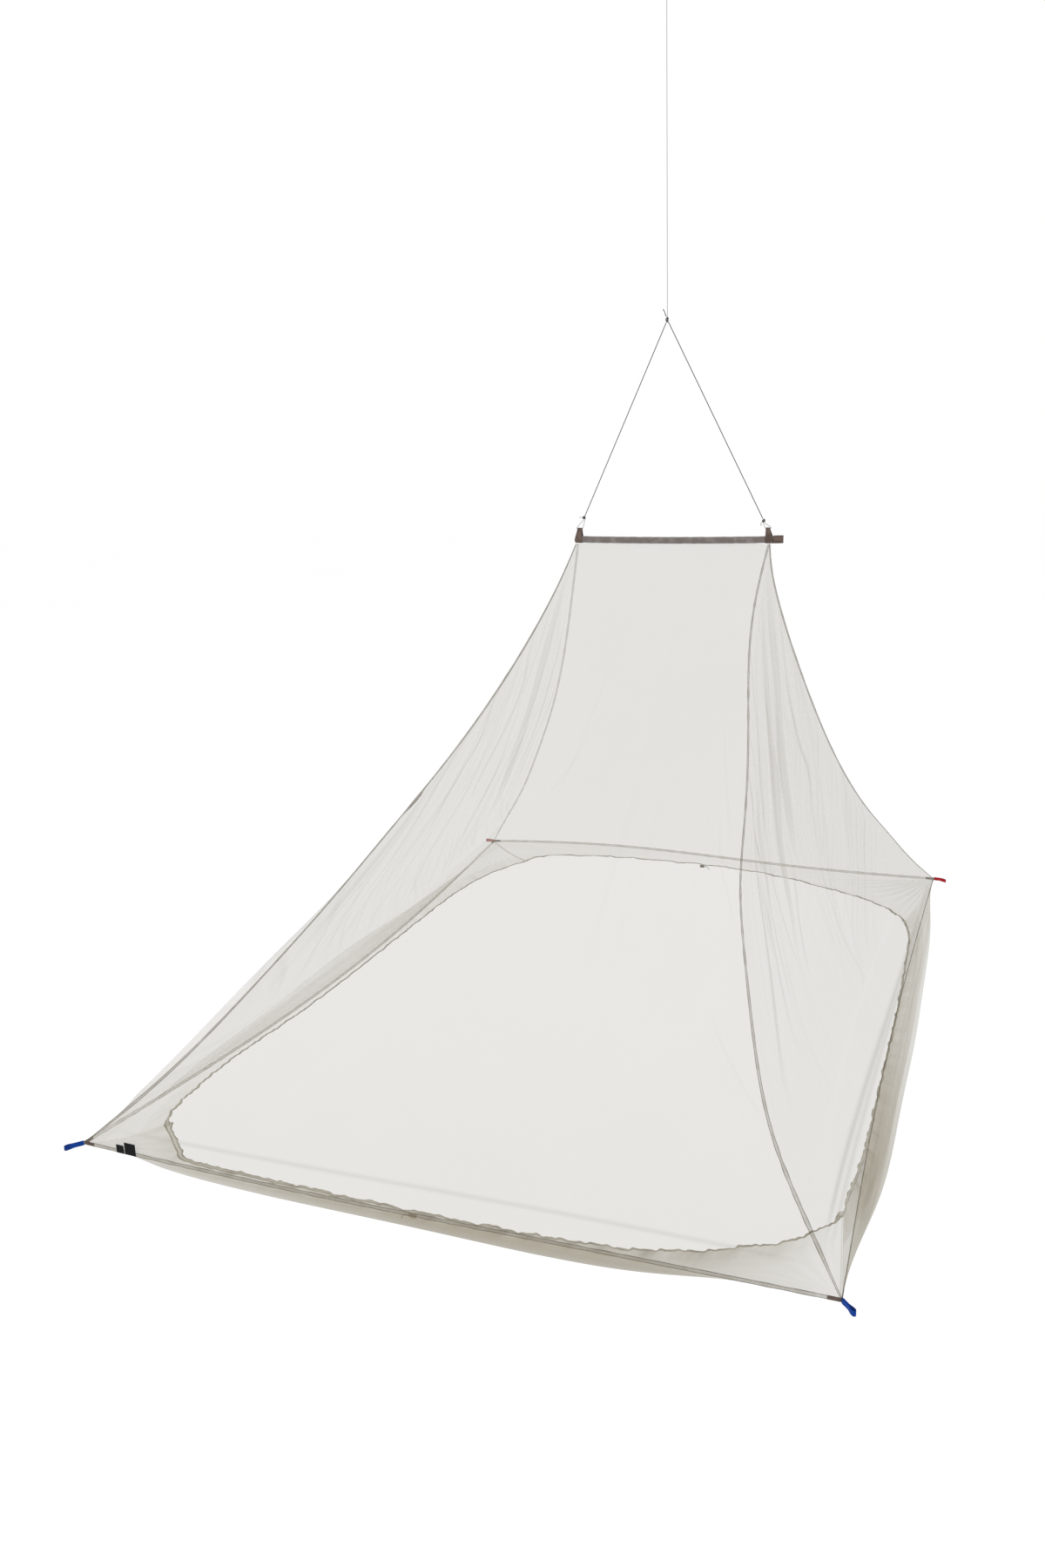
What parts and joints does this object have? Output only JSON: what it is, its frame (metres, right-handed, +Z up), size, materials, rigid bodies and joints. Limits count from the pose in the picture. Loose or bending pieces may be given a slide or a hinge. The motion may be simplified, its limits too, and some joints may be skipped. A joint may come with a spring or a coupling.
{
  "type": "mosquito net canopy with spreader bar",
  "caption": "Sheer mosquito net for a wide bed or mat, hung from a single cord by a short spreader bar, with taped ridges, a tucked-in skirt and webbing loops at its corners.",
  "frame": {"origin": "the point under the crown of the hanging line's top loop, where a hook holds the net", "axes": "+Z up along the hanging line, +X along the spreader bar to the end with the pocket, +Y to the rear, where the corner loops are red"},
  "size_m": [1.7582, 2.4693, 2.6774],
  "materials": {
    "net": "sheer fine mesh",
    "tape": "woven tape",
    "sleeve": "woven",
    "webbing_brown": "woven",
    "webbing_blue": "woven",
    "webbing_red": "woven",
    "label": "woven",
    "cord_dark": "braided",
    "cord_light": "braided",
    "bar": "satin",
    "lock": "moulded"
  },
  "bodies": {
    "root": {"wall_front": "net", "wall_right": "net", "wall_rear": "net", "wall_left": "net", "skirt_front": "net", "skirt_right": "net", "skirt_rear": "net", "skirt_left": "net", "ridge_tape_front_left": "tape", "ridge_tape_front_right": "tape", "ridge_tape_rear_right": "tape", "ridge_tape_rear_left": "tape", "base_tape_front": "tape", "base_tape_right": "tape", "base_tape_rear": "tape", "base_tape_left": "tape", "corner_patch_front_left": "webbing_brown", "corner_patch_front_right": "webbing_brown", "corner_patch_rear_right": "webbing_brown", "corner_patch_rear_left": "webbing_brown", "corner_loop_front_left": "webbing_blue", "corner_loop_front_right": "webbing_blue", "corner_loop_rear_right": "webbing_red", "corner_loop_rear_left": "webbing_red", "spreader_bar": "bar", "bar_sleeve": "sleeve", "sling_left": "webbing_brown", "sling_right": "webbing_brown", "bar_pocket": "webbing_brown", "knot_left": "cord_dark", "knot_right": "cord_dark", "knot_apex": "cord_dark", "knot_top": "cord_light", "bridle_left": "cord_dark", "bridle_right": "cord_dark", "hanging_line": "cord_light", "tie_loop_left": "cord_light", "tie_loop_right": "cord_light", "top_loop": "cord_light", "tail_left": "cord_light", "tail_right": "cord_light", "tail_apex": "cord_dark", "drawcord_end_front": "cord_dark", "drawcord_end_rear": "cord_dark", "cord_lock_front": "lock", "cord_lock_rear": "lock", "label_small": "label", "label_large": "label"}
  },
  "joints": []
}
